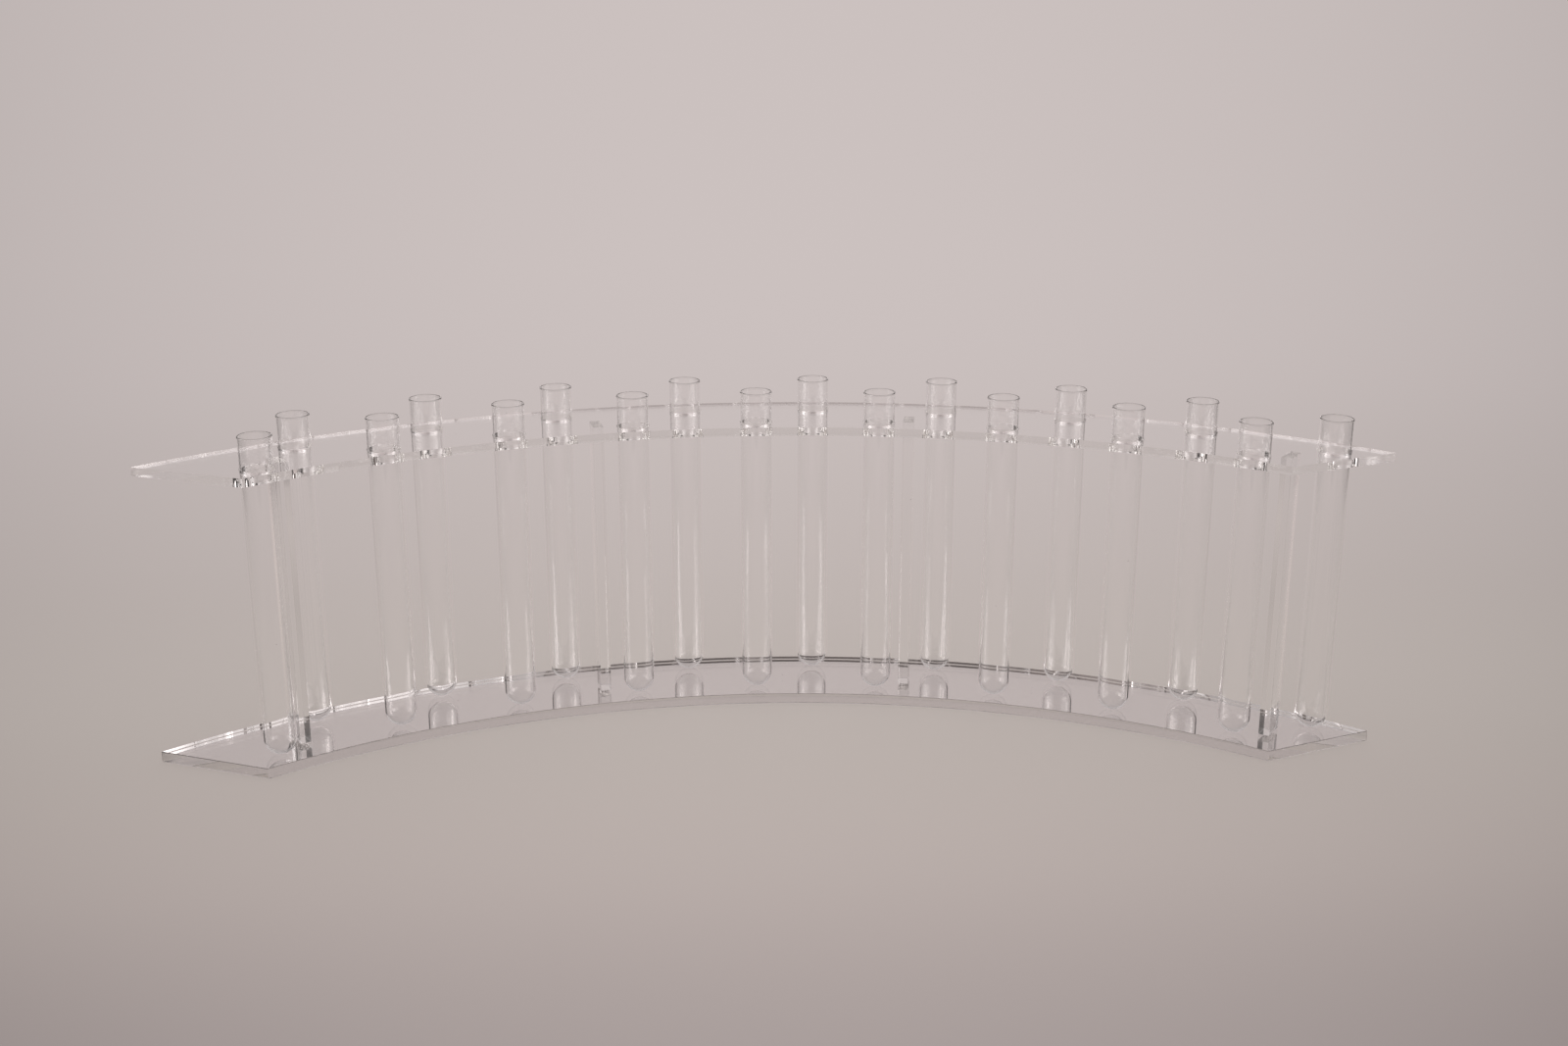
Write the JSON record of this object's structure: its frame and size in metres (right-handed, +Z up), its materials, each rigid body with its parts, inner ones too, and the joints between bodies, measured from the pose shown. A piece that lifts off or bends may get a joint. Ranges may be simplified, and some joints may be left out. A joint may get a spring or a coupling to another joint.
{
  "type": "test tube stand",
  "caption": "Curved clear acrylic stand with a mirrored base and two staggered rows of round-bottomed glass tubes held upright in its drilled top plate.",
  "frame": {"origin": "middle of the stand's outline, on the surface it stands on", "axes": "+Z up, +X along the stand to the right as pictured, +Y to the outer, back side of the arc"},
  "size_m": [0.5608, 0.1278, 0.1553],
  "materials": {
    "clear_acrylic": "clear, polished",
    "silvered_acrylic": "clear and polished above, silvered underneath, so it mirrors",
    "clear_glass": "clear, smooth"
  },
  "bodies": {
    "stand": {"base_plate": "silvered_acrylic", "top_plate": "clear_acrylic", "post_left_end": "clear_acrylic", "post_left_middle": "clear_acrylic", "post_right_middle": "clear_acrylic", "post_right_end": "clear_acrylic"},
    "front_tube_1": {"tube_front_1": "clear_glass"},
    "front_tube_2": {"tube_front_2": "clear_glass"},
    "front_tube_3": {"tube_front_3": "clear_glass"},
    "front_tube_4": {"tube_front_4": "clear_glass"},
    "front_tube_5": {"tube_front_5": "clear_glass"},
    "front_tube_6": {"tube_front_6": "clear_glass"},
    "front_tube_7": {"tube_front_7": "clear_glass"},
    "front_tube_8": {"tube_front_8": "clear_glass"},
    "front_tube_9": {"tube_front_9": "clear_glass"},
    "back_tube_1": {"tube_back_1": "clear_glass"},
    "back_tube_2": {"tube_back_2": "clear_glass"},
    "back_tube_3": {"tube_back_3": "clear_glass"},
    "back_tube_4": {"tube_back_4": "clear_glass"},
    "back_tube_5": {"tube_back_5": "clear_glass"},
    "back_tube_6": {"tube_back_6": "clear_glass"},
    "back_tube_7": {"tube_back_7": "clear_glass"},
    "back_tube_8": {"tube_back_8": "clear_glass"},
    "back_tube_9": {"tube_back_9": "clear_glass"}
  },
  "joints": [
    {"name": "front_tube_1_lift", "type": "slide", "parent": "stand", "child": "front_tube_1", "axis": [0, 0, 1], "range_m": [0, 0.16]},
    {"name": "front_tube_2_lift", "type": "slide", "parent": "stand", "child": "front_tube_2", "axis": [0, 0, 1], "range_m": [0, 0.16]},
    {"name": "front_tube_3_lift", "type": "slide", "parent": "stand", "child": "front_tube_3", "axis": [0, 0, 1], "range_m": [0, 0.16]},
    {"name": "front_tube_4_lift", "type": "slide", "parent": "stand", "child": "front_tube_4", "axis": [0, 0, 1], "range_m": [0, 0.16]},
    {"name": "front_tube_5_lift", "type": "slide", "parent": "stand", "child": "front_tube_5", "axis": [0, 0, 1], "range_m": [0, 0.16]},
    {"name": "front_tube_6_lift", "type": "slide", "parent": "stand", "child": "front_tube_6", "axis": [0, 0, 1], "range_m": [0, 0.16]},
    {"name": "front_tube_7_lift", "type": "slide", "parent": "stand", "child": "front_tube_7", "axis": [0, 0, 1], "range_m": [0, 0.16]},
    {"name": "front_tube_8_lift", "type": "slide", "parent": "stand", "child": "front_tube_8", "axis": [0, 0, 1], "range_m": [0, 0.16]},
    {"name": "front_tube_9_lift", "type": "slide", "parent": "stand", "child": "front_tube_9", "axis": [0, 0, 1], "range_m": [0, 0.16]},
    {"name": "back_tube_1_lift", "type": "slide", "parent": "stand", "child": "back_tube_1", "axis": [0, 0, 1], "range_m": [0, 0.16]},
    {"name": "back_tube_2_lift", "type": "slide", "parent": "stand", "child": "back_tube_2", "axis": [0, 0, 1], "range_m": [0, 0.16]},
    {"name": "back_tube_3_lift", "type": "slide", "parent": "stand", "child": "back_tube_3", "axis": [0, 0, 1], "range_m": [0, 0.16]},
    {"name": "back_tube_4_lift", "type": "slide", "parent": "stand", "child": "back_tube_4", "axis": [0, 0, 1], "range_m": [0, 0.16]},
    {"name": "back_tube_5_lift", "type": "slide", "parent": "stand", "child": "back_tube_5", "axis": [0, 0, 1], "range_m": [0, 0.16]},
    {"name": "back_tube_6_lift", "type": "slide", "parent": "stand", "child": "back_tube_6", "axis": [0, 0, 1], "range_m": [0, 0.16]},
    {"name": "back_tube_7_lift", "type": "slide", "parent": "stand", "child": "back_tube_7", "axis": [0, 0, 1], "range_m": [0, 0.16]},
    {"name": "back_tube_8_lift", "type": "slide", "parent": "stand", "child": "back_tube_8", "axis": [0, 0, 1], "range_m": [0, 0.16]},
    {"name": "back_tube_9_lift", "type": "slide", "parent": "stand", "child": "back_tube_9", "axis": [0, 0, 1], "range_m": [0, 0.16]}
  ]
}
